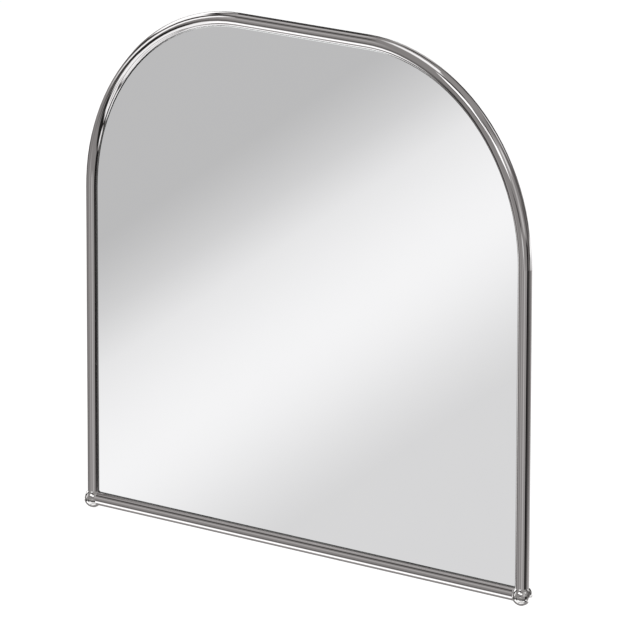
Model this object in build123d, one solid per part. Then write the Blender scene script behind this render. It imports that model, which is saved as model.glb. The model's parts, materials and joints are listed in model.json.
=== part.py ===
from build123d import *
import math
import os

# Arched wall mirror in a bent tube frame, hung on a folded wall cleat. Millimetres.
# Row frame: +Z up, +X to the viewer's right, the mirror faces -Y and the wall is the plane Y = 0.
# The origin is on the wall, at the centre of the wall cleat's row of screw holes.
# Every piece is drawn looking at the mirror from the front, x to the right, y up and z towards
# the viewer, with its zero on the line between the two ball centres, in the tube's centre plane.

# Tube frame
tube_diameter = 15.0
tube_wall = 1.2
leg_spacing = 595.0        # between the centrelines of the two legs
frame_height = 554.0       # from the ball line up to the centreline of the top run
bend_radius = 209.0        # centreline radius of the two large bends

# Ball connectors and the grub screws that lock the tubes on their spigots
ball_diameter = 22.0
spigot_length = 20.0
spigot_clearance = 0.05    # between a spigot and the bore of its tube
spigot_chamfer = 0.8
grub_diameter = 4.0
grub_length = 5.0
grub_from_end = 10.0       # from the end of the tube to the screw's axis
socket_across_flats = 2.0
socket_depth = 2.2

# Stack inside the frame, from the rear tangent plane of the tube forwards
board_thickness = 3.0
tape_thickness = 1.6
film_thickness = 0.2
glass_thickness = 4.0
board_gap = 1.0            # between the board's edge and the flank of the tube
glass_gap = 0.4            # between the glass edge and the flank of the tube
film_inset = 1.0           # the film ends this far inside the glass edge
board_corner_radius = 6.0
glass_corner_radius = 2.5
glass_arris = 0.5

# Foam tape
tape_count = 5
tape_width = 20.0
tape_spacing = 100.0
tape_start = 40.0          # height of the lower ends
tape_length = 400.0

# Lugs welded to the back of the tube, and their rivets
lug_thickness = 2.0
lug_width = 34.0
lug_reach = 34.0           # from the tube's centreline inwards
lug_corner_radius = 5.0
weld_width = 3.5           # from the tube's rear tangent line inwards
weld_depth = 1.5
leg_lug_height = 130.0
rail_lug_offset = 150.0    # from the middle of the bottom rail
rivet_diameter = 3.2
rivet_hole_clearance = 0.05
rivet_head_diameter = 6.4
rivet_head_height = 1.1
rivet_blind_diameter = 4.8
rivet_blind_height = 1.2
lug_rivet_inset = 9.0      # from the inner end of the lug
lug_rivet_spacing = 18.0

# Folded cleat section, the same on the frame and on the wall
sheet_thickness = 2.0
fold_radius = 1.0          # inside the fold
cleat_offset = 4.6         # between the middle planes of the flange and the lip
cleat_play = 0.3           # between the wall lip and the frame lip, and above the wall lip

# Hanging rail on the frame
hook_height = 318.0        # underside of the rail's fold above the ball line
rail_flange_height = 22.0
rail_lip_height = 10.0
rail_lip_length = 420.0
rail_rivet_count = 4
rail_rivet_spacing = 100.0
rail_rivet_height = 13.0   # above the underside of the fold

# Wall cleat
cleat_length = 400.0
cleat_lip_height = 12.0
cleat_web_height = 30.0
cleat_screw_drop = 18.0    # from the underside of the cleat's fold down to the screw holes
cleat_hole_diameter = 5.5
cleat_hole_spacings = (300.0, 100.0)   # outer pair and inner pair of holes

# Rubber bumpers that keep the lower edge parallel to the wall
bumper_diameter = 18.0
bumper_tip_diameter = 14.0
bumper_edge_radius = 1.5
bumper_from_leg = 62.0
bumper_height = 52.0       # above the ball line

# Derived sizes
tube_radius = tube_diameter / 2
bore_radius = tube_radius - tube_wall
ball_radius = ball_diameter / 2
seat_distance = math.sqrt(ball_radius**2 - tube_radius**2)   # ball centre to the end of a tube
spigot_radius = bore_radius - spigot_clearance
half_spacing = leg_spacing / 2

board_rear = -tube_radius
board_front = board_rear + board_thickness
film_rear = board_front + tape_thickness
glass_rear = film_rear + film_thickness
glass_front = glass_rear + glass_thickness

rail_flange_plane = board_rear - sheet_thickness / 2
rail_lip_plane = rail_flange_plane - cleat_offset
cleat_lip_plane = rail_lip_plane + sheet_thickness + cleat_play
cleat_web_plane = cleat_lip_plane - cleat_offset
wall_plane = cleat_web_plane - sheet_thickness / 2

cleat_lip_top = hook_height - cleat_play
cleat_fold_underside = cleat_lip_top - cleat_lip_height - sheet_thickness
screw_row_height = cleat_fold_underside - cleat_screw_drop

# From the drawing's axes to the row frame
drawing = Plane(
    origin=(0, wall_plane, -screw_row_height),
    x_dir=(1, 0, 0),
    z_dir=(0, -1, 0),
)


def slab(sketch, rear, front):
    """A flat sheet of the sketch's outline between two depths."""
    return extrude(Pos(0, 0, rear) * sketch, front - rear)


def frame_path(end):
    """The arched centreline, with both legs cut off the given distance above the ball line."""
    return FilletPolyline(
        (-half_spacing, end),
        (-half_spacing, frame_height),
        (half_spacing, frame_height),
        (half_spacing, end),
        radius=bend_radius,
    )


def arched_rod(radius, end):
    """A solid rod along the arched centreline."""
    section = Plane(origin=(-half_spacing, end, 0), z_dir=(0, 1, 0)) * Circle(radius)
    return sweep(section, path=frame_path(end))


def rail_rod(radius, end):
    """A solid rod along the ball line, cut off the given distance from both ball centres."""
    start = Plane(origin=(-half_spacing + end, 0, 0), z_dir=(1, 0, 0))
    return extrude(start * Circle(radius), leg_spacing - 2 * end)


def arch_sheet(inset, corner_radius):
    """The outline of a sheet whose edge runs the given distance inside the centreline."""
    width = leg_spacing - 2 * inset
    height = frame_height - 2 * inset
    outline = Pos(0, frame_height / 2) * Rectangle(width, height)
    outline = fillet(outline.vertices().group_by(Axis.Y)[-1], bend_radius - inset)
    return fillet(outline.vertices().group_by(Axis.Y)[0], corner_radius)


def grub_points():
    """Places of the grub screws on the two legs, then on the bottom rail."""
    from_ball = seat_distance + grub_from_end
    legs = [(side * half_spacing, from_ball) for side in (-1, 1)]
    rail = [(side * (half_spacing - from_ball), 0) for side in (-1, 1)]
    return legs, rail


def grub_hole(point):
    """The threaded hole of one grub screw, from behind the tube into the spigot."""
    return Pos(point[0], point[1], -tube_radius + grub_length / 2) * Cylinder(
        grub_diameter / 2, grub_length
    )


def grub_screw(point):
    """A set screw flush with the back of the tube, with a hexagon socket."""
    socket = RegularPolygon(socket_across_flats / 2, 6, major_radius=False)
    recess = slab(Pos(*point) * socket, -tube_radius, -tube_radius + socket_depth)
    return grub_hole(point) - recess


def ball_connector(side):
    """A ball with two flat seats and two spigots, one up the leg and one along the rail."""
    centre = Pos(side * half_spacing, 0, 0)
    reach = seat_distance + spigot_length
    ball = Sphere(ball_radius)
    spigot = Pos(0, 0, reach / 2) * Cylinder(spigot_radius, reach)
    spigot = chamfer(spigot.edges().sort_by(Axis.Z)[-1], spigot_chamfer)
    spare = Pos(0, 0, seat_distance + ball_radius / 2) * Box(ball_diameter, ball_diameter, ball_radius)
    leg_turn = Rot(-90, 0, 0)
    rail_turn = Rot(0, -90 * side, 0)
    for turn in (leg_turn, rail_turn):
        ball -= turn * spare
    for turn in (leg_turn, rail_turn):
        ball += turn * spigot
    ball = centre * ball
    legs, rail = grub_points()
    for point in legs + rail:
        ball -= grub_hole(point)
    return ball


def lug_place(point, inward_angle):
    """The place of a lug on the centreline; its own +x axis then points to the frame's middle."""
    return Pos(point[0], point[1], 0) * Rot(0, 0, inward_angle)


def lug_rivet_points():
    """Places of one lug's rivets in the lug's own axes."""
    along = lug_reach - lug_rivet_inset
    return [(along, side * lug_rivet_spacing / 2) for side in (-1, 1)]


def lug_places():
    """Every lug's name and place: three on each side of the arch, one on top and two below."""
    bend_x = half_spacing - bend_radius
    bend_y = frame_height - bend_radius
    slant = bend_radius * math.sqrt(0.5)
    places = {"top_lug": lug_place((0, frame_height), -90)}
    for name, side in (("left", -1), ("right", 1)):
        flat_turn = 0 if side < 0 else 180
        slant_turn = -45 if side < 0 else -135
        bend_point = (side * (bend_x + slant), bend_y + slant)
        places[name + "_leg_lug"] = lug_place((side * half_spacing, leg_lug_height), flat_turn)
        places[name + "_bend_lug"] = lug_place(bend_point, slant_turn)
        places[name + "_rail_lug"] = lug_place((side * rail_lug_offset, 0), 90)
    return places


def weld_bead(width):
    """The bead under the outer end of a lug, still as a block that fills the tube's flank."""
    block = Box(weld_width, width, weld_depth)
    return Pos(weld_width / 2, 0, board_rear + weld_depth / 2) * block


def rivet_hole(length, middle):
    """A clearance hole for one rivet."""
    return Pos(0, 0, middle) * Cylinder(rivet_diameter / 2 + rivet_hole_clearance, length)


def lug(place, rods):
    """A flat tab behind the tube and the board, saddled on the tube by its weld bead."""
    tab = Pos(lug_reach / 2, 0) * Rectangle(lug_reach, lug_width)
    tab = fillet(tab.vertices().group_by(Axis.X)[-1], lug_corner_radius)
    solid = slab(tab, board_rear - lug_thickness, board_rear) + weld_bead(lug_width)
    for x, y in lug_rivet_points():
        solid -= Pos(x, y, 0) * rivet_hole(4 * lug_thickness, board_rear)
    solid = place * solid
    for rod in rods:
        solid -= rod
    return solid


def blind_rivet(grip_rear):
    """A set blind rivet through the sheet behind the board and the board itself."""
    radius = rivet_diameter / 2
    head = rivet_head_diameter / 2
    blind = rivet_blind_diameter / 2
    tip = board_front + rivet_blind_height
    profile = Polyline(
        (0, grip_rear - rivet_head_height),
        (head / 2, grip_rear - rivet_head_height),
        (head, grip_rear - rivet_head_height / 4),
        (head, grip_rear),
        (radius, grip_rear),
        (radius, board_front),
        (blind, board_front),
        (blind, tip - rivet_blind_height / 4),
        (blind / 2, tip),
        (0, tip),
        close=True,
    )
    return revolve(Plane.XZ * make_face(profile), Axis.Z)


def lug_rivets():
    """Two rivets through every lug."""
    rivet = blind_rivet(board_rear - lug_thickness)
    return [
        place * Pos(x, y, 0) * rivet
        for place in lug_places().values()
        for x, y in lug_rivet_points()
    ]


def rail_rivet_points():
    """Places of the rivets that hold the hanging rail to the board."""
    first = -(rail_rivet_count - 1) * rail_rivet_spacing / 2
    height = hook_height + rail_rivet_height
    return [(first + i * rail_rivet_spacing, height) for i in range(rail_rivet_count)]


def folded_section(points):
    """A strip of sheet folded along the points, given as depth and height."""
    path = FilletPolyline(*points, radius=fold_radius + sheet_thickness / 2)
    return trace(path, line_width=sheet_thickness)


def folded_strip(points, length):
    """A folded strip of the given length, centred on the frame's middle line."""
    section_plane = Plane(origin=(-length / 2, 0, 0), x_dir=(0, 0, 1), z_dir=(-1, 0, 0))
    return extrude(section_plane * folded_section(points), -length)


def hanging_rail(rods):
    """The folded rail across the back, welded to both legs, with its lip pointing down."""
    fold = hook_height + sheet_thickness / 2
    points = (
        (rail_flange_plane, hook_height + rail_flange_height),
        (rail_flange_plane, fold),
        (rail_lip_plane, fold),
        (rail_lip_plane, hook_height - rail_lip_height),
    )
    rail = folded_strip(points, leg_spacing)
    notch_length = (leg_spacing - rail_lip_length) / 2
    notch_depth = cleat_offset + sheet_thickness
    notch_height = rail_lip_height + 2 * sheet_thickness + fold_radius
    notch_top = hook_height + sheet_thickness + fold_radius
    for side in (-1, 1):
        notch = Pos(
            side * (half_spacing - notch_length / 2),
            notch_top - notch_height / 2,
            rail_flange_plane - notch_depth / 2,
        ) * Box(notch_length, notch_height, notch_depth + sheet_thickness)
        rail -= notch
        bead_height = rail_flange_height - sheet_thickness - fold_radius
        turn = Rot(0, 0, 0 if side < 0 else 180)
        end = Pos(side * half_spacing, notch_top + bead_height / 2, 0)
        rail += end * turn * weld_bead(bead_height)
    for x, y in rail_rivet_points():
        rail -= Pos(x, y, 0) * rivet_hole(4 * sheet_thickness, board_rear)
    for rod in rods:
        rail -= rod
    return rail


def wall_cleat():
    """The folded cleat on the wall, with its lip pointing up and its screw holes below."""
    fold = cleat_fold_underside + sheet_thickness / 2
    points = (
        (cleat_lip_plane, cleat_lip_top),
        (cleat_lip_plane, fold),
        (cleat_web_plane, fold),
        (cleat_web_plane, cleat_fold_underside - cleat_web_height),
    )
    cleat = folded_strip(points, cleat_length)
    for spacing in cleat_hole_spacings:
        for side in (-1, 1):
            cleat -= Pos(side * spacing / 2, screw_row_height, cleat_web_plane) * Cylinder(
                cleat_hole_diameter / 2, 2 * sheet_thickness
            )
    return cleat


def back_board():
    """The moisture-proof board that closes the back of the frame."""
    board = slab(arch_sheet(tube_radius + board_gap, board_corner_radius), board_rear, board_front)
    hole = rivet_hole(2 * board_thickness, board_front)
    for place in lug_places().values():
        for x, y in lug_rivet_points():
            board -= place * Pos(x, y, 0) * hole
    for x, y in rail_rivet_points():
        board -= Pos(x, y, 0) * hole
    return board


def mirror_glass():
    """The silvered pane, with its front and rear arris taken off."""
    pane = slab(arch_sheet(tube_radius + glass_gap, glass_corner_radius), glass_rear, glass_front)
    faces = (pane.faces().sort_by(Axis.Z)[0], pane.faces().sort_by(Axis.Z)[-1])
    return chamfer([edge for face in faces for edge in face.edges()], glass_arris)


def safety_film():
    """The splinter film on the back of the pane."""
    inset = tube_radius + glass_gap + film_inset
    return slab(arch_sheet(inset, glass_corner_radius), film_rear, glass_rear)


def foam_tape_strips():
    """Upright strips of foam tape that hold the pane to the board."""
    first = -(tape_count - 1) * tape_spacing / 2
    middle = (tape_start + tape_length / 2)
    return [
        slab(Pos(first + i * tape_spacing, middle) * Rectangle(tape_width, tape_length), board_front, film_rear)
        for i in range(tape_count)
    ]


def bumper(side):
    """A tapered rubber pad between the board and the wall."""
    height = board_rear - wall_plane
    pad = Cone(bumper_tip_diameter / 2, bumper_diameter / 2, height)
    pad = fillet(pad.edges().sort_by(Axis.Z)[0], bumper_edge_radius)
    return Pos(side * (half_spacing - bumper_from_leg), bumper_height, wall_plane + height / 2) * pad


def build_nodes():
    """Every named piece in the drawing's axes."""
    outer_rods = (arched_rod(tube_radius, seat_distance), rail_rod(tube_radius, seat_distance))
    legs, rail = grub_points()

    arched_tube = outer_rods[0] - arched_rod(bore_radius, seat_distance)
    bottom_rail = outer_rods[1] - rail_rod(bore_radius, seat_distance)
    for point in legs:
        arched_tube -= grub_hole(point)
    for point in rail:
        bottom_rail -= grub_hole(point)

    nodes = {
        "arched_tube": arched_tube,
        "bottom_rail": bottom_rail,
        "left_ball_connector": ball_connector(-1),
        "right_ball_connector": ball_connector(1),
        "leg_grub_screws": [grub_screw(point) for point in legs],
        "rail_grub_screws": [grub_screw(point) for point in rail],
        "mirror_glass": mirror_glass(),
        "safety_film": safety_film(),
        "foam_tape_strips": foam_tape_strips(),
        "back_board": back_board(),
        "lug_rivets": lug_rivets(),
        "hanging_rail": hanging_rail(outer_rods),
        "hanging_rail_rivets": [
            Pos(x, y, 0) * blind_rivet(board_rear - sheet_thickness) for x, y in rail_rivet_points()
        ],
        "left_bumper": bumper(-1),
        "right_bumper": bumper(1),
        "wall_cleat": wall_cleat(),
    }
    for name, place in lug_places().items():
        nodes[name] = lug(place, outer_rods)
    return nodes


def as_shape(piece):
    """One placed shape for a node, which may hold several equal solids."""
    solids = piece if isinstance(piece, list) else [piece]
    placed = [drawing.location * solid for solid in solids]
    if len(placed) == 1:
        return placed[0]
    return Compound(children=placed)


os.makedirs("parts", exist_ok=True)
for node_name, node_piece in build_nodes().items():
    export_step(as_shape(node_piece), "parts/" + node_name + ".step")
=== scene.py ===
import json
import math

import bmesh
import bpy
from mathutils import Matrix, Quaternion, Vector


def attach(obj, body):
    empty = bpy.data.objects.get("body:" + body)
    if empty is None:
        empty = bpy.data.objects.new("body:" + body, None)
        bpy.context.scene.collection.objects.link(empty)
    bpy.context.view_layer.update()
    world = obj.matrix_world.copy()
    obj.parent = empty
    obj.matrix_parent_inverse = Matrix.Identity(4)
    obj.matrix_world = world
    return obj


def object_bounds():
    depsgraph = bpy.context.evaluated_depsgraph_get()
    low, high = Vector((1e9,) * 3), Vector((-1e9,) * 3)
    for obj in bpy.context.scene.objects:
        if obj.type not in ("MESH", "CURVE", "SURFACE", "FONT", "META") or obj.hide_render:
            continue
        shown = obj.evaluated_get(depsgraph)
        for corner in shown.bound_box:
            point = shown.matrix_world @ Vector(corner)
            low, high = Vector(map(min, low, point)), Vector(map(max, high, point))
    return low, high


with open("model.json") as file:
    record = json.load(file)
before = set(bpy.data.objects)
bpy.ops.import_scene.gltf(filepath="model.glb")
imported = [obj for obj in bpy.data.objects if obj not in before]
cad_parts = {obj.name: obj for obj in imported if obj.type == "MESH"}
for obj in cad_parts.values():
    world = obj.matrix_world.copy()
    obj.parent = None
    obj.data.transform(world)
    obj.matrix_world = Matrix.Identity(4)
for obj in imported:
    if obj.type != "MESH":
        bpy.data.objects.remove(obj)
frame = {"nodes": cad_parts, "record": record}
cad_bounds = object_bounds()

# Arched wall mirror in a chromed tube frame. Metres, in the frame of the solids: the mirror faces
# -Y, +X is the viewer's right, and the wall is the plane Y = 0.

# Camera at the photograph's angle
camera_azimuth = 40.42
camera_elevation = 13.51
camera_roll = 0.125
camera_distance = 7.274
camera_lens = 403.0
camera_sensor = 36.0
aim_point = Vector((0.0095, -0.0164, -0.0286))

# Stage
floor_drop = 0.9            # below the lowest point of the mirror
floor_radius = 16.0
floor_rings = 24
floor_spokes = 96
floor_camera_lift = 0.5     # added for the camera only, so an unshaded floor is white
key_lamp_size = 2.6
key_lamp_power = 62.0
key_lamp_place = (-2.4, -3.0, 2.4)
fill_lamp_size = 3.0
fill_lamp_power = 40.0
fill_lamp_place = (2.6, 3.2, 2.0)
room_diffuse_level = 0.62   # what matt surfaces receive from the room

# The plain room, and how much redder and less blue it is where it isn't bright
room_level = 0.33
grey_added_red = 0.06
grey_lost_blue = 0.02

# What stands round the studio, each over the ones before it. Every line gives its level, the azimuth
# and the elevation of its middle, its half width and half height, and the softness of its edge, in
# degrees. Azimuth is 0 in front of the mirror and 90 at the viewer's right.
room_panels = [
    # The softbox overhead, and the dimmer ceiling to its right
    (1.40, -50, 78, 50, 18, 4),
    (0.38, 90, 76, 90, 16, 6),
    # Flags and softboxes to the left and behind the wall
    (0.02, -150, 54, 14, 8, 3),
    (0.65, -152, 28, 10, 14, 3),
    (0.02, -170, 23, 10, 18, 2),
    (1.60, -104, 26, 31, 10, 1.5),
    (1.60, -112, -5, 25, 14, 2),
    (0.25, -112, 14, 16, 4, 1.5),
    (0.02, -92, 40, 30, 2, 1),
    (0.02, -139, 4, 4, 24, 2),
    (0.02, -126, -36, 8, 4, 2),
    (0.02, -108, -47, 12, 4, 2),
    # Bright windows in front, with the flags and bars between them
    (0.02, -74, 10, 11, 5, 2),
    (0.02, -62, 28, 5, 16, 1.5),
    (1.60, -51, 13, 4, 19, 1),
    (1.80, 0, 34, 14, 10, 1),
    (1.70, 26, 28, 13, 8, 1),
    (0.05, 13, 31, 1.5, 12, 0.8),
    (0.02, 5, 55, 14, 6, 2),
    (0.02, 38, 42, 7, 6, 2),
    (0.05, -9, 21, 9, 4, 2),
    (0.08, 18, 4, 10, 3, 2),
    # The right-hand side, round to behind the wall
    (0.50, 72, 40, 28, 9, 3),
    (0.60, 62, 17, 12, 13, 3),
    (0.03, 122, 28, 12, 7, 2),
    (0.05, 126, 50, 10, 5, 2),
    (0.90, 152, 36, 13, 9, 3),
    (0.02, 175, 20, 9, 12, 3),
    (0.02, 146, 10, 8, 13, 2),
    (1.50, 165, -26, 50, 23, 3),
    # At the height of the rail
    (0.03, -78, -12, 13, 5, 2),
    (0.90, 17, -7, 8, 4, 2),
    (0.01, 80, -20, 11, 20, 2),
    # The white floor, and the dark bands that cross it
    (1.35, 12, -60, 88, 26, 3),
    (1.60, -62, -41, 10, 9, 2),
    (0.02, 10, -66, 80, 2, 1),
    (0.02, 20, -38, 20, 6, 1.5),
    (0.02, -9, -31, 10, 5, 1.5),
    (0.02, -32, -27, 9, 12, 1.5),
    (0.02, -82, -47, 6, 11, 2),
    (0.01, -68, -25, 12, 8, 1.5),
    (0.05, -48, -17, 6, 5, 1.5),
    (0.02, 58, -39, 20, 8, 1.5),
    # Over the earlier ones: what the foot of the right bend shows
    (0.12, 112, 3, 16, 14, 3),
    (0.16, 126, 24, 16, 18, 3),
    (1.20, 82, 38, 8, 6, 2),
    (0.66, 60, 8, 14, 5, 3),
    (0.10, 17, 1, 7, 4, 2),
    # The floor's last bands
    (0.25, 30, -54, 20, 2, 1.5),
    (0.02, 88, -53, 13, 9, 2),
    (0.02, 80, -66, 8, 5, 2),
]

# Strips that the level rail and the top run show. Every line gives the level, the turn about the X
# axis (0 in front, 90 above), the half width and the softness.
rail_strip_reach = 4.0
rail_strips = [
    (0.30, -118, 18, 3),
    (0.42, -86, 14, 2),
    (1.80, -58, 13, 1.5),
    (0.90, -42, 4, 1.5),
    (0.14, -28, 8, 1.5),
    (0.30, -6, 7, 1.5),
    (0.42, 9, 8, 2),
    (0.60, 23, 7, 2),
    (0.28, 39, 7, 2),
    (0.07, 56, 9, 1.5),
    (0.42, 74, 8, 2),
    (0.70, 94, 10, 2),
    (0.04, 117, 10, 2),
    (0.02, 145, 16, 3),
]

# Strips that the upright legs show: the level, the azimuth, the half width and the softness.
leg_strip_elevation = -14.2
leg_strip_reach = 3.5
leg_strips = [
    (1.40, -114, 32, 3),
    (0.20, -67, 11, 3),
    (0.52, -46, 7, 2),
    (0.30, -28, 8, 2),
    (0.48, -8, 9, 2),
    (0.36, 11, 7, 2),
    (0.62, 30, 9, 1.5),
    (0.40, 54, 15, 1.5),
    (0.00, 77, 9, 1.5),
    (0.06, 98, 13, 2),
    (0.17, 130, 20, 3),
    (0.38, 168, 20, 4),
]

# The slanting light band that the glass shows, as levels along its slope
glow_reach = 3.2            # half the size of the patch of room in the glass, degrees
glow_softness = 0.5
glow_slope_across = 0.190   # of the band's width, per degree
glow_slope_down = 0.292
glow_middle = 0.508         # how far along the band the middle of the picture lies
glow_levels = [
    (0.0, 0.50),
    (0.18, 0.68),
    (0.31, 0.86),
    (0.55, 1.0),
    (0.70, 0.94),
    (0.84, 0.83),
    (1.0, 0.70),
]

# How square to the wall's depth a flat piece's face, and its flank, stand
face_squareness = 0.9
flank_squareness = 0.3

# Sizes of the welded and riveted back, as the solids have them
leg_line = 0.2975           # centreline of each leg from the middle
top_line = 0.2683           # centreline of the top run
ball_line = -0.2857         # centreline of the bottom rail
bend_radius = 0.209
tube_line = -0.0164         # depth of the tube's centreline
tube_radius = 0.0075
leg_lug_above_rail = 0.130
rail_lug_offset = 0.150
lug_width = 0.034
lug_rivet_along = 0.025     # from the tube's centreline inwards
lug_rivet_aside = 0.009
rail_rivet_line = 0.0453
rail_rivet_spacing = 0.100
rivet_head_rear = -0.0058   # depth of the heads towards the wall
pin_radius = 0.0009
pin_height = 0.00045
pin_sides = 14
pin_outline = [             # radius and height of the snapped end, as shares of the pin's own
    (1.0, -0.6),
    (1.0, 0.55),
    (0.86, 0.78),
    (0.5, 0.9),
    (0.42, 1.0),
    (0.2, 0.94),
]
weld_radius = 0.0013
weld_sides = 12
weld_steps = 84
weld_rise = 0.35            # of the weld's radius, its centre behind the tube
weld_ripple = 0.16          # of the weld's radius
weld_ripple_length = 0.0016


def add_node(tree, kind, place, inputs=None, **settings):
    """One node of a tree. Each input gets a value, or the output socket that feeds it."""
    node = tree.nodes.new("ShaderNode" + kind)
    node.location = place
    for name, value in settings.items():
        setattr(node, name, value)
    for name, value in (inputs or {}).items():
        if isinstance(value, bpy.types.NodeSocket):
            tree.links.new(value, node.inputs[name])
        else:
            node.inputs[name].default_value = value
    return node


def math_node(tree, operation, place, first, second=None, third=None, clamp=False):
    """A math node's result from one to three values or sockets."""
    inputs = {0: first}
    if second is not None:
        inputs[1] = second
    if third is not None:
        inputs[2] = third
    return add_node(tree, "Math", place, inputs, operation=operation, use_clamp=clamp).outputs[0]


def blend_colours(tree, place, factor, first, second):
    """A colour mix from first to second."""
    return add_node(tree, "Mix", place, {0: factor, 6: first, 7: second}, data_type="RGBA").outputs[2]


def blend_values(tree, place, factor, first, second):
    """A mix of two values from first to second."""
    return add_node(tree, "Mix", place, {0: factor, 2: first, 3: second}).outputs[0]


def spread(tree, place, value, low, high, new_low, new_high):
    """A value's range from low to high, stretched to another range."""
    return add_node(tree, "MapRange", place, {0: value, 1: low, 2: high, 3: new_low, 4: new_high}).outputs[0]


def grey(level):
    """An opaque neutral colour."""
    return (level, level, level, 1.0)


def new_group(name, inputs, outputs):
    """An empty shader node group with named sockets, and its input and output sockets."""
    tree = bpy.data.node_groups.new(name, "ShaderNodeTree")
    for socket_name, socket_type, value in inputs:
        socket = tree.interface.new_socket(socket_name, in_out="INPUT", socket_type=socket_type)
        if value is not None:
            socket.default_value = value
    for socket_name, socket_type in outputs:
        tree.interface.new_socket(socket_name, in_out="OUTPUT", socket_type=socket_type)
    group_in = tree.nodes.new("NodeGroupInput")
    group_in.location = (-900, 0)
    group_out = tree.nodes.new("NodeGroupOutput")
    group_out.location = (900, 0)
    return tree, group_in.outputs, group_out.inputs


def use_group(tree, group, place, inputs=None):
    """The outputs of a placed copy of a node group."""
    node = add_node(tree, "Group", place, node_tree=group)
    for name, value in (inputs or {}).items():
        if isinstance(value, bpy.types.NodeSocket):
            tree.links.new(value, node.inputs[name])
        else:
            node.inputs[name].default_value = value
    return node.outputs


def new_finish(name):
    """A material with its Principled shader, and the object coordinates in metres."""
    material = bpy.data.materials.new(name)
    material.use_nodes = True
    tree = material.node_tree
    shader = next(n for n in tree.nodes if n.type == "BSDF_PRINCIPLED")
    position = add_node(tree, "TexCoord", (-1200, 0)).outputs["Object"]
    return material, tree, shader, position


def feed(tree, shader, **sockets):
    """Values or sockets for the inputs of a shader, by their names with underscores."""
    for name, value in sockets.items():
        target = shader.inputs[name.replace("_", " ")]
        if isinstance(value, bpy.types.NodeSocket):
            tree.links.new(value, target)
        else:
            target.default_value = value


# Shared effects


def cloudy_tone_group():
    """Two colours that drift into each other, with a finer drift over the wide one."""
    tree, given, result = new_group(
        "cloudy tone",
        [
            ("Position", "NodeSocketVector", None),
            ("Scale", "NodeSocketFloat", 10.0),
            ("First", "NodeSocketColor", grey(0.5)),
            ("Second", "NodeSocketColor", grey(0.6)),
        ],
        [("Colour", "NodeSocketColor")],
    )
    wide = add_node(tree, "TexNoise", (-600, 200), {"Vector": given["Position"], "Scale": given["Scale"]})
    finer_scale = math_node(tree, "MULTIPLY", (-700, -100), given["Scale"], 7.0)
    fine = add_node(tree, "TexNoise", (-500, -100), {"Vector": given["Position"], "Scale": finer_scale})
    both = blend_values(tree, (-200, 0), 0.35, wide.outputs["Fac"], fine.outputs["Fac"])
    drift = spread(tree, (0, 0), both, 0.35, 0.65, 0.0, 1.0)
    tree.links.new(blend_colours(tree, (300, 0), drift, given["First"], given["Second"]), result["Colour"])
    return tree


def surface_grain_group():
    """Fine grain over a surface, as a mask and as the normal that its depth gives."""
    tree, given, result = new_group(
        "surface grain",
        [
            ("Position", "NodeSocketVector", None),
            ("Scale", "NodeSocketFloat", 900.0),
            ("Depth", "NodeSocketFloat", 0.00002),
        ],
        [("Grain", "NodeSocketFloat"), ("Normal", "NodeSocketVector")],
    )
    noise = add_node(
        tree, "TexNoise", (-500, 0), {"Vector": given["Position"], "Scale": given["Scale"], "Detail": 5.0},
    )
    bump = add_node(tree, "Bump", (0, -200), {"Distance": given["Depth"], "Height": noise.outputs["Fac"]})
    tree.links.new(noise.outputs["Fac"], result["Grain"])
    tree.links.new(bump.outputs["Normal"], result["Normal"])
    return tree


def drawn_lines_group():
    """Lines drawn out along one axis, as rolling, brushing or fibres leave them."""
    tree, given, result = new_group(
        "drawn lines",
        [
            ("Position", "NodeSocketVector", None),
            ("Stretch", "NodeSocketVector", (40.0, 900.0, 900.0)),
        ],
        [("Lines", "NodeSocketFloat")],
    )
    drawn = add_node(
        tree, "VectorMath", (-600, 0), {0: given["Position"], 1: given["Stretch"]}, operation="MULTIPLY",
    )
    noise = add_node(tree, "TexNoise", (-300, 0), {"Vector": drawn.outputs[0], "Scale": 1.0, "Detail": 4.0})
    tree.links.new(spread(tree, (100, 0), noise.outputs["Fac"], 0.3, 0.7, 0.0, 1.0), result["Lines"])
    return tree


def pane_sides_group():
    """Whether a face of something flat looks to the front, to the wall or out of its edge or flank."""
    tree, given, result = new_group(
        "pane sides",
        [("Normal", "NodeSocketVector", None)],
        [
            ("Front", "NodeSocketFloat"),
            ("Rear", "NodeSocketFloat"),
            ("Edge", "NodeSocketFloat"),
            ("Flank", "NodeSocketFloat"),
        ],
    )
    depth = add_node(tree, "SeparateXYZ", (-600, 0), {0: given["Normal"]}).outputs["Y"]
    front = math_node(tree, "LESS_THAN", (-300, 200), depth, -face_squareness)
    rear = math_node(tree, "GREATER_THAN", (-300, 0), depth, face_squareness)
    faces = math_node(tree, "ADD", (0, 0), front, rear)
    edge = math_node(tree, "SUBTRACT", (300, -200), 1.0, faces)
    squareness = math_node(tree, "ABSOLUTE", (-300, -400), depth)
    flank = math_node(tree, "LESS_THAN", (300, -400), squareness, flank_squareness)
    for name, mask in (("Front", front), ("Rear", rear), ("Edge", edge), ("Flank", flank)):
        tree.links.new(mask, result[name])
    return tree


def cells_group():
    """Close cells: a tone for each one, and how far a point is from the nearest border."""
    tree, given, result = new_group(
        "cells",
        [("Position", "NodeSocketVector", None), ("Scale", "NodeSocketFloat", 300.0)],
        [("Tone", "NodeSocketFloat"), ("Border", "NodeSocketFloat")],
    )
    cell = add_node(tree, "TexVoronoi", (-500, 200), {"Vector": given["Position"], "Scale": given["Scale"]})
    border = add_node(
        tree, "TexVoronoi", (-500, -200), {"Vector": given["Position"], "Scale": given["Scale"]},
        feature="DISTANCE_TO_EDGE",
    )
    tone = add_node(tree, "SeparateColor", (-200, 200), {0: cell.outputs["Color"]}).outputs[0]
    tree.links.new(tone, result["Tone"])
    tree.links.new(spread(tree, (0, -200), border.outputs["Distance"], 0.0, 0.12, 0.0, 1.0), result["Border"])
    return tree


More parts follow.
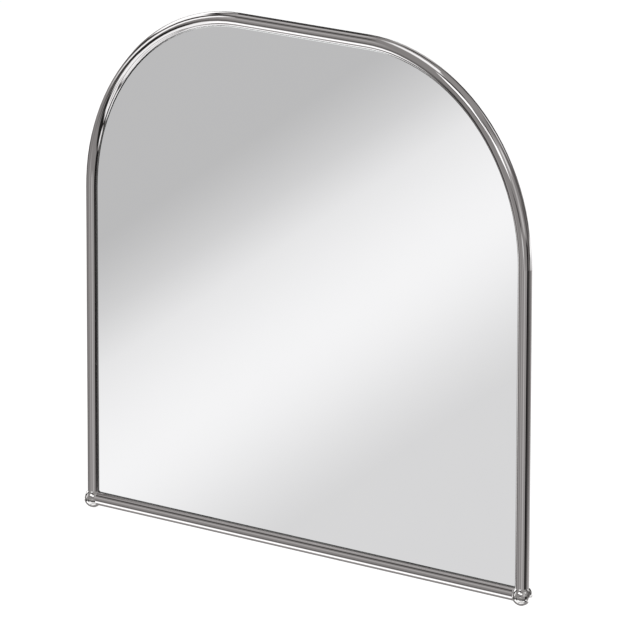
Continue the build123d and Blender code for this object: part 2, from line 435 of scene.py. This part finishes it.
cloudy_tone = cloudy_tone_group()
surface_grain = surface_grain_group()
drawn_lines = drawn_lines_group()
pane_sides = pane_sides_group()
cells = cells_group()


# Finishes


def chrome_finish(name, light, dark, roughness):
    """Polished chrome: a faint drift of tone, buffing haze and a very slight waviness."""
    material, tree, shader, position = new_finish(name)
    tone = use_group(tree, cloudy_tone, (-700, 300), {
        "Position": position, "Scale": 9.0, "First": light, "Second": dark,
    })["Colour"]
    haze = use_group(tree, surface_grain, (-900, 0), {"Position": position, "Scale": 260.0})["Grain"]
    hairlines = use_group(tree, drawn_lines, (-900, -200), {
        "Position": position, "Stretch": (900.0, 900.0, 900.0),
    })["Lines"]
    marks = blend_values(tree, (-650, -100), 0.4, haze, hairlines)
    rough = spread(tree, (-400, -100), marks, 0.35, 0.75, roughness, roughness + 0.05)
    waves = use_group(tree, surface_grain, (-700, -400), {
        "Position": position, "Scale": 55.0, "Depth": 0.000003,
    })["Normal"]
    feed(tree, shader, Base_Color=tone, Roughness=rough, Normal=waves, Metallic=1.0)
    return material


def silvered_glass_finish():
    """A clear silver face, a bright ground arris, a dark green flank and a painted rear."""
    material, tree, shader, position = new_finish("silvered glass")
    normal = add_node(tree, "TexCoord", (-1200, -300)).outputs["Normal"]
    side = use_group(tree, pane_sides, (-1000, -300), {"Normal": normal})
    silver = use_group(tree, cloudy_tone, (-900, 300), {
        "Position": position,
        "Scale": 4.0,
        "First": (0.936, 0.934, 0.942, 1),
        "Second": (0.930, 0.929, 0.938, 1),
    })["Colour"]
    ground = use_group(tree, cloudy_tone, (-900, 100), {
        "Position": position,
        "Scale": 400.0,
        "First": (0.84, 0.88, 0.87, 1),
        "Second": (0.88, 0.92, 0.91, 1),
    })["Colour"]
    paint = use_group(tree, cloudy_tone, (-900, -100), {
        "Position": position,
        "Scale": 60.0,
        "First": (0.20, 0.22, 0.22, 1),
        "Second": (0.24, 0.26, 0.26, 1),
    })["Colour"]
    colour = blend_colours(tree, (-500, 200), side["Edge"], silver, ground)
    colour = blend_colours(tree, (-400, 200), side["Flank"], colour, (0.03, 0.06, 0.05, 1))
    colour = blend_colours(tree, (-300, 200), side["Rear"], colour, paint)
    arris = math_node(tree, "SUBTRACT", (-600, -300), side["Edge"], side["Flank"])
    metal = math_node(tree, "ADD", (-400, -250), side["Front"], arris)
    painted = math_node(tree, "MULTIPLY", (-500, -400), side["Rear"], 0.5)
    dull = math_node(tree, "MULTIPLY_ADD", (-300, -400), side["Edge"], 0.14, painted)
    feed(tree, shader, Base_Color=colour, Metallic=metal, Roughness=dull)
    return material


def splinter_film_finish():
    """Milky plastic film with a fine crossed scrim, which holds the pane together if it breaks."""
    material, tree, shader, position = new_finish("splinter film")
    along = use_group(tree, drawn_lines, (-900, 300), {
        "Position": position, "Stretch": (30.0, 30.0, 1400.0),
    })["Lines"]
    across = use_group(tree, drawn_lines, (-900, 100), {
        "Position": position, "Stretch": (1400.0, 30.0, 30.0),
    })["Lines"]
    scrim = math_node(tree, "MAXIMUM", (-650, 200), along, across)
    colour = blend_colours(tree, (-400, 200), scrim, (0.50, 0.54, 0.56, 1), (0.66, 0.70, 0.72, 1))
    bump = add_node(tree, "Bump", (-400, -200), {"Distance": 0.00002, "Height": scrim}).outputs["Normal"]
    feed(tree, shader, Base_Color=colour, Roughness=0.42, Normal=bump)
    return material


def foam_tape_finish():
    """White closed-cell foam with its cut cells showing."""
    material, tree, shader, position = new_finish("foam tape")
    cell = use_group(tree, cells, (-900, 100), {"Position": position, "Scale": 1500.0})
    tone = blend_colours(tree, (-500, 200), cell["Border"], (0.90, 0.90, 0.88, 1), (0.76, 0.76, 0.73, 1))
    bump = add_node(tree, "Bump", (-500, -200), {"Distance": 0.0001, "Height": cell["Border"]})
    feed(tree, shader, Base_Color=tone, Roughness=0.85, Normal=bump.outputs["Normal"])
    return material


def board_finish():
    """Hardboard painted black on its faces, raw and brown at its cut edge."""
    material, tree, shader, position = new_finish("black board")
    normal = add_node(tree, "TexCoord", (-1200, -300)).outputs["Normal"]
    side = use_group(tree, pane_sides, (-1000, -300), {"Normal": normal})
    fibres = use_group(tree, drawn_lines, (-900, 0), {
        "Position": position, "Stretch": (260.0, 260.0, 700.0),
    })["Lines"]
    paint = blend_colours(tree, (-600, 300), fibres, (0.024, 0.024, 0.025, 1), (0.046, 0.046, 0.047, 1))
    raw = blend_colours(tree, (-600, 100), fibres, (0.10, 0.060, 0.034, 1), (0.20, 0.125, 0.075, 1))
    colour = blend_colours(tree, (-300, 200), side["Edge"], paint, raw)
    rough = spread(tree, (-300, -100), fibres, 0.0, 1.0, 0.48, 0.66)
    grain = use_group(tree, surface_grain, (-600, -400), {
        "Position": position, "Scale": 700.0, "Depth": 0.00006,
    })["Normal"]
    feed(tree, shader, Base_Color=colour, Roughness=rough, Normal=grain)
    return material


def rivet_finish():
    """Bright aluminium with the fine marks of the setting tool."""
    material, tree, shader, position = new_finish("aluminium rivet")
    marks = use_group(tree, drawn_lines, (-900, 100), {
        "Position": position, "Stretch": (2600.0, 400.0, 2600.0),
    })["Lines"]
    colour = blend_colours(tree, (-500, 200), marks, (0.78, 0.78, 0.79, 1), (0.64, 0.64, 0.66, 1))
    rough = spread(tree, (-500, -100), marks, 0.0, 1.0, 0.24, 0.44)
    grain = use_group(tree, surface_grain, (-600, -300), {
        "Position": position, "Scale": 2400.0, "Depth": 0.00002,
    })["Normal"]
    feed(tree, shader, Base_Color=colour, Roughness=rough, Normal=grain, Metallic=1.0)
    return material


def black_oxide_finish():
    """Oiled black oxide on the grub screws and on the rivets' steel pins."""
    material, tree, shader, position = new_finish("black oxide")
    tone = use_group(tree, cloudy_tone, (-800, 200), {
        "Position": position,
        "Scale": 500.0,
        "First": (0.022, 0.022, 0.026, 1),
        "Second": (0.050, 0.046, 0.043, 1),
    })["Colour"]
    grain = use_group(tree, surface_grain, (-800, -200), {
        "Position": position, "Scale": 2600.0, "Depth": 0.00003,
    })
    rough = spread(tree, (-400, -100), grain["Grain"], 0.3, 0.7, 0.28, 0.46)
    feed(tree, shader, Base_Color=tone, Roughness=rough, Normal=grain["Normal"], Metallic=0.7)
    return material


def bumper_rubber_finish():
    """Moulded black rubber with a dusty bloom."""
    material, tree, shader, position = new_finish("bumper rubber")
    bloom = use_group(tree, cloudy_tone, (-800, 200), {
        "Position": position,
        "Scale": 220.0,
        "First": (0.018, 0.018, 0.018, 1),
        "Second": (0.040, 0.039, 0.037, 1),
    })["Colour"]
    grain = use_group(tree, surface_grain, (-800, -200), {
        "Position": position, "Scale": 2000.0, "Depth": 0.00008,
    })
    rough = spread(tree, (-400, -100), grain["Grain"], 0.3, 0.7, 0.62, 0.82)
    feed(tree, shader, Base_Color=bloom, Roughness=rough, Normal=grain["Normal"])
    return material


def zinc_steel_finish():
    """Zinc-plated sheet with its flakes and the lines of the rolling."""
    material, tree, shader, position = new_finish("zinc steel")
    flake = use_group(tree, cells, (-1000, 200), {"Position": position, "Scale": 190.0})["Tone"]
    rolled = use_group(tree, drawn_lines, (-1000, -50), {
        "Position": position, "Stretch": (35.0, 1500.0, 1500.0),
    })["Lines"]
    marks = blend_values(tree, (-700, 100), 0.45, flake, rolled)
    colour = blend_colours(tree, (-400, 200), marks, (0.50, 0.52, 0.55, 1), (0.68, 0.70, 0.73, 1))
    rough = spread(tree, (-400, -100), marks, 0.0, 1.0, 0.26, 0.46)
    bump = add_node(tree, "Bump", (-400, -350), {"Distance": 0.000006, "Height": rolled}).outputs["Normal"]
    feed(tree, shader, Base_Color=colour, Roughness=rough, Normal=bump, Metallic=1.0)
    return material


def dress_solids(tube_chrome):
    """Every solid gets the finish that its record names."""
    ball_chrome = chrome_finish("chromed ball", (0.690, 0.682, 0.678, 1), (0.665, 0.658, 0.654, 1), 0.02)
    finishes = {
        "chromed_tube": tube_chrome,
        "chromed_ball": ball_chrome,
        "silvered_glass": silvered_glass_finish(),
        "film": splinter_film_finish(),
        "foam_tape": foam_tape_finish(),
        "board": board_finish(),
        "rivet": rivet_finish(),
        "black_steel": black_oxide_finish(),
        "bumper_rubber": bumper_rubber_finish(),
        "zinc_steel": zinc_steel_finish(),
    }
    for subpart in frame["record"]["subparts"]:
        frame["nodes"][subpart["node"]].material_slots[0].material = finishes[subpart["material_slot"]]


# Small pieces on the back


def add_piece(name, shape, finish):
    """A smooth object of its own from a bmesh, which moves with the mirror."""
    bmesh.ops.recalc_face_normals(shape, faces=shape.faces)
    mesh = bpy.data.meshes.new(name)
    shape.to_mesh(mesh)
    shape.free()
    mesh.polygons.foreach_set("use_smooth", [True] * len(mesh.polygons))
    mesh.materials.append(finish)
    piece = bpy.data.objects.new(name, mesh)
    bpy.context.scene.collection.objects.link(piece)
    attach(piece, "mirror")


def join_rings(shape, rings):
    """Faces between neighbouring rings of vertices, and a cap at each end."""
    count = len(rings[0])
    for ring, following in zip(rings, rings[1:]):
        for i in range(count):
            j = (i + 1) % count
            shape.faces.new((ring[i], ring[j], following[j], following[i]))
    shape.faces.new(rings[0])
    shape.faces.new(rings[-1])


def lug_places():
    """Where each lug meets the tube's centreline, as x and z, and the direction inwards."""
    slant = math.sqrt(0.5)
    bend_x = leg_line - bend_radius + bend_radius * slant
    bend_z = top_line - bend_radius + bend_radius * slant
    places = [(0.0, top_line, 0.0, -1.0)]
    for side in (-1, 1):
        places.append((side * leg_line, ball_line + leg_lug_above_rail, -side, 0.0))
        places.append((side * bend_x, bend_z, -side * slant, -slant))
        places.append((side * rail_lug_offset, ball_line, 0.0, 1.0))
    return places


def rivet_pins(finish):
    """The snapped pin that stands in the head of each blind rivet."""
    points = [
        (x + inward_x * lug_rivet_along - inward_z * aside, z + inward_z * lug_rivet_along + inward_x * aside)
        for x, z, inward_x, inward_z in lug_places()
        for aside in (-lug_rivet_aside, lug_rivet_aside)
    ]
    points += [((i - 1.5) * rail_rivet_spacing, rail_rivet_line) for i in range(4)]
    shape = bmesh.new()
    for x, z in points:
        rings = [
            [
                shape.verts.new((
                    x + pin_radius * wide * math.cos(math.tau * i / pin_sides),
                    rivet_head_rear + pin_height * high,
                    z + pin_radius * wide * math.sin(math.tau * i / pin_sides),
                ))
                for i in range(pin_sides)
            ]
            for wide, high in pin_outline
        ]
        join_rings(shape, rings)
    add_piece("rivet_pins", shape, finish)


def lug_welds(finish):
    """The rippled bead where the end of each lug lies on the back of the tube."""
    shape = bmesh.new()
    reach = lug_width / 2 - weld_radius
    depth = tube_line + tube_radius + weld_rise * weld_radius
    for x, z, inward_x, inward_z in lug_places():
        rings = []
        for step in range(weld_steps + 1):
            along = reach * (2 * step / weld_steps - 1)
            wave = math.sin(math.tau * along / weld_ripple_length)
            taper = math.sqrt(max(0.0, 1 - (abs(along) / (reach * 1.02)) ** 8))
            radius = weld_radius * taper * (1 - weld_ripple * (0.5 + 0.5 * wave))
            rings.append([])
            for i in range(weld_sides):
                turn = math.tau * i / weld_sides
                out = radius * math.cos(turn)
                rings[-1].append(shape.verts.new((
                    x - inward_z * along - inward_x * out,
                    depth + radius * math.sin(turn),
                    z + inward_x * along - inward_z * out,
                )))
        join_rings(shape, rings)
    add_piece("lug_welds", shape, finish)


# Stage


def set_camera():
    """The camera, turned to the aim point from the photograph's angle."""
    azimuth = math.radians(camera_azimuth)
    elevation = math.radians(camera_elevation)
    back = Vector((
        math.sin(azimuth) * math.cos(elevation),
        -math.cos(azimuth) * math.cos(elevation),
        math.sin(elevation),
    ))
    data = bpy.data.cameras.new("camera")
    data.sensor_width = camera_sensor
    data.lens = camera_lens
    camera = bpy.data.objects.new("camera", data)
    roll = Quaternion((0, 0, 1), math.radians(camera_roll))
    camera.rotation_mode = "QUATERNION"
    camera.rotation_quaternion = back.to_track_quat("Z", "Y") @ roll
    camera.location = aim_point + back * camera_distance
    bpy.context.scene.collection.objects.link(camera)
    bpy.context.scene.camera = camera


def add_lamp(name, size, power, place):
    """A square soft lamp that looks at the mirror and shows in no reflection."""
    data = bpy.data.lights.new(name, "AREA")
    data.size = size
    data.energy = power
    lamp = bpy.data.objects.new(name, data)
    lamp.location = place
    lamp.rotation_mode = "QUATERNION"
    lamp.rotation_quaternion = (Vector(place) - aim_point).to_track_quat("Z", "Y")
    lamp.visible_glossy = False
    lamp.visible_camera = False
    bpy.context.scene.collection.objects.link(lamp)


def pale_floor_finish():
    """White to the camera where nothing shades it, and clear from below."""
    material, tree, shader, position = new_finish("pale floor")
    tree.nodes.remove(shader)
    output = next(n for n in tree.nodes if n.type == "OUTPUT_MATERIAL")
    tone = use_group(tree, cloudy_tone, (-700, 0), {
        "Position": position, "Scale": 3.0, "First": grey(0.80), "Second": grey(0.82),
    })["Colour"]
    cloth = add_node(tree, "BsdfDiffuse", (-400, 0), {"Color": tone})
    path = add_node(tree, "LightPath", (-900, 400)).outputs
    lift = math_node(tree, "MULTIPLY", (-650, 300), path["Is Camera Ray"], floor_camera_lift)
    glow = add_node(tree, "Emission", (-400, 200), {"Color": grey(1.0), "Strength": lift})
    lit = add_node(tree, "AddShader", (-150, 100), {0: cloth.outputs[0], 1: glow.outputs[0]})
    clear = add_node(tree, "BsdfTransparent", (-150, -100))
    below = add_node(tree, "NewGeometry", (-150, 400)).outputs["Backfacing"]
    mixed = add_node(tree, "MixShader", (100, 0), {0: below, 1: lit.outputs[0], 2: clear.outputs[0]})
    tree.links.new(mixed.outputs[0], output.inputs["Surface"])
    return material


def lay_floor():
    """A round floor below the hanging mirror."""
    mesh = bpy.data.meshes.new("floor")
    shape = bmesh.new()
    height = cad_bounds[0].z - floor_drop
    middle = shape.verts.new((0, 0, height))
    previous = None
    for ring in range(1, floor_rings + 1):
        radius = floor_radius * (ring / floor_rings) ** 2
        current = [
            shape.verts.new((
                radius * math.cos(2 * math.pi * i / floor_spokes),
                radius * math.sin(2 * math.pi * i / floor_spokes),
                height,
            ))
            for i in range(floor_spokes)
        ]
        for i in range(floor_spokes):
            j = (i + 1) % floor_spokes
            if previous is None:
                shape.faces.new((middle, current[i], current[j]))
            else:
                shape.faces.new((previous[i], current[i], current[j], previous[j]))
        previous = current
    shape.to_mesh(mesh)
    shape.free()
    floor = bpy.data.objects.new("floor", mesh)
    mesh.materials.append(pale_floor_finish())
    floor.visible_glossy = False
    bpy.context.scene.collection.objects.link(floor)


def bearing_group():
    """A direction as two pairs of degrees: upright for the legs, and lying for the rail."""
    tree, given, result = new_group(
        "studio bearing",
        [("Direction", "NodeSocketVector", None)],
        [
            ("Azimuth", "NodeSocketFloat"),
            ("Elevation", "NodeSocketFloat"),
            ("Turn", "NodeSocketFloat"),
            ("Lean", "NodeSocketFloat"),
        ],
    )
    axes = add_node(tree, "SeparateXYZ", (-600, 0), {0: given["Direction"]}).outputs
    forward = math_node(tree, "MULTIPLY", (-400, 0), axes["Y"], -1.0)
    angles = {
        "Azimuth": math_node(tree, "ARCTAN2", (-200, 200), axes["X"], forward),
        "Elevation": math_node(tree, "ARCSINE", (-200, 50), axes["Z"]),
        "Turn": math_node(tree, "ARCTAN2", (-200, -100), axes["Z"], forward),
        "Lean": math_node(tree, "ARCSINE", (-200, -250), axes["X"]),
    }
    for row, (name, angle) in enumerate(angles.items()):
        tree.links.new(math_node(tree, "DEGREES", (100, 200 - 150 * row), angle), result[name])
    return tree


def panel_group():
    """The mask of a soft-edged panel that stands round the studio."""
    tree, given, result = new_group(
        "studio panel",
        [
            ("Round", "NodeSocketFloat", 0.0),
            ("Along", "NodeSocketFloat", 0.0),
            ("Middle Round", "NodeSocketFloat", 0.0),
            ("Middle Along", "NodeSocketFloat", 0.0),
            ("Half Width", "NodeSocketFloat", 10.0),
            ("Half Height", "NodeSocketFloat", 10.0),
            ("Sharpness", "NodeSocketFloat", 0.25),
        ],
        [("Mask", "NodeSocketFloat")],
    )
    sides = math_node(tree, "SUBTRACT", (-600, 200), given["Round"], given["Middle Round"])
    sides = math_node(tree, "PINGPONG", (-450, 200), sides, 180.0)
    sides = math_node(tree, "SUBTRACT", (-300, 200), given["Half Width"], sides)
    sides = math_node(tree, "MULTIPLY_ADD", (-100, 200), sides, given["Sharpness"], 0.5, clamp=True)
    ends = math_node(tree, "SUBTRACT", (-600, -200), given["Along"], given["Middle Along"])
    ends = math_node(tree, "ABSOLUTE", (-450, -200), ends)
    ends = math_node(tree, "SUBTRACT", (-300, -200), given["Half Height"], ends)
    ends = math_node(tree, "MULTIPLY_ADD", (-100, -200), ends, given["Sharpness"], 0.5, clamp=True)
    tree.links.new(math_node(tree, "MULTIPLY", (200, 0), sides, ends), result["Mask"])
    return tree


def panel_mask(tree, panel, place, round_angle, along_angle, middle, half_size, softness):
    """The mask of one panel of the studio."""
    return use_group(tree, panel, place, {
        "Round": round_angle,
        "Along": along_angle,
        "Middle Round": middle[0],
        "Middle Along": middle[1],
        "Half Width": half_size[0],
        "Half Height": half_size[1],
        "Sharpness": 1.0 / (2.0 * softness),
    })["Mask"]


def glass_glow(tree, bearing):
    """The slanting light band that stands where the glass looks."""
    start = glow_middle + glow_slope_across * camera_azimuth - glow_slope_down * camera_elevation
    across = math_node(tree, "MULTIPLY_ADD", (-600, 900), bearing["Azimuth"], glow_slope_across, start)
    slope = math_node(tree, "MULTIPLY_ADD", (-400, 900), bearing["Elevation"], -glow_slope_down, across)
    ramp = add_node(tree, "ValToRGB", (-200, 900), {0: slope})
    stops = ramp.color_ramp.elements
    while len(stops) < len(glow_levels):
        stops.new(0.5)
    for stop, (place, level) in zip(stops, glow_levels):
        stop.position = place
        stop.color = grey(level)
    ramp.color_ramp.interpolation = "B_SPLINE"
    return ramp.outputs[0]


def lay_panels(tree, panel, bearing):
    """The room's level with every panel and strip laid over it in turn."""
    azimuth, elevation = bearing["Azimuth"], bearing["Elevation"]
    turn, lean = bearing["Turn"], bearing["Lean"]
    rail_lean = -math.degrees(math.asin(
        math.sin(math.radians(camera_azimuth)) * math.cos(math.radians(camera_elevation))
    ))
    laid = [
        (level, azimuth, elevation, (round_middle, height), (half_width, half_height), softness)
        for level, round_middle, height, half_width, half_height, softness in room_panels
    ]
    laid += [
        (level, turn, lean, (middle, rail_lean), (half_width, rail_strip_reach), softness)
        for level, middle, half_width, softness in rail_strips
    ]
    laid += [
        (level, azimuth, elevation, (middle, leg_strip_elevation), (half_width, leg_strip_reach), softness)
        for level, middle, half_width, softness in leg_strips
    ]
    room = room_level
    for i, (level, round_angle, along_angle, middle, half_size, softness) in enumerate(laid):
        mask = panel_mask(
            tree, panel, (-1500 + 200 * i, -300), round_angle, along_angle, middle, half_size, softness,
        )
        room = blend_values(tree, (-1500 + 200 * i, 0), mask, room, level)
    return room


def room_colour(tree, room):
    """The room's level as a colour, a little warmer where it isn't bright."""
    warmth = math_node(tree, "SUBTRACT", (-1000, 600), 1.0, room, clamp=True)
    red_share = math_node(tree, "MULTIPLY_ADD", (-850, 650), warmth, grey_added_red, 1.0)
    blue_share = math_node(tree, "MULTIPLY_ADD", (-850, 500), warmth, -grey_lost_blue, 1.0)
    return add_node(tree, "CombineColor", (-600, 600), {
        "Red": math_node(tree, "MULTIPLY", (-700, 650), room, red_share),
        "Green": room,
        "Blue": math_node(tree, "MULTIPLY", (-700, 500), room, blue_share),
    }).outputs[0]


def light_studio():
    """The room: white to the camera, plain for matt surfaces, panels and flags in reflections."""
    world = bpy.data.worlds.new("studio")
    bpy.context.scene.world = world
    world.use_nodes = True
    tree = world.node_tree
    tree.nodes.clear()
    direction = add_node(tree, "TexCoord", (-2000, 0)).outputs["Generated"]
    bearing = use_group(tree, bearing_group(), (-1800, 0), {"Direction": direction})
    panel = panel_group()
    room = room_colour(tree, lay_panels(tree, panel, bearing))
    glass_patch = panel_mask(
        tree, panel, (-600, 700), bearing["Azimuth"], bearing["Elevation"],
        (-camera_azimuth, -camera_elevation), (glow_reach, glow_reach), glow_softness,
    )
    shown = blend_colours(tree, (-400, 600), glass_patch, room, glass_glow(tree, bearing))
    path = add_node(tree, "LightPath", (-400, 400)).outputs
    matt = blend_colours(tree, (-200, 200), path["Is Diffuse Ray"], shown, grey(room_diffuse_level))
    seen = blend_colours(tree, (0, 100), path["Is Camera Ray"], matt, grey(1.0))
    background = add_node(tree, "Background", (200, 0), {"Color": seen})
    output = add_node(tree, "OutputWorld", (400, 0))
    tree.links.new(background.outputs[0], output.inputs["Surface"])


tube_chrome = chrome_finish("chromed tube", (0.668, 0.655, 0.656, 1), (0.650, 0.638, 0.640, 1), 0.02)
dress_solids(tube_chrome)
rivet_pins(black_oxide_finish())
lug_welds(tube_chrome)
set_camera()
lay_floor()
add_lamp("key lamp", key_lamp_size, key_lamp_power, key_lamp_place)
add_lamp("fill lamp", fill_lamp_size, fill_lamp_power, fill_lamp_place)
light_studio()
bpy.context.scene.view_settings.view_transform = "Standard"
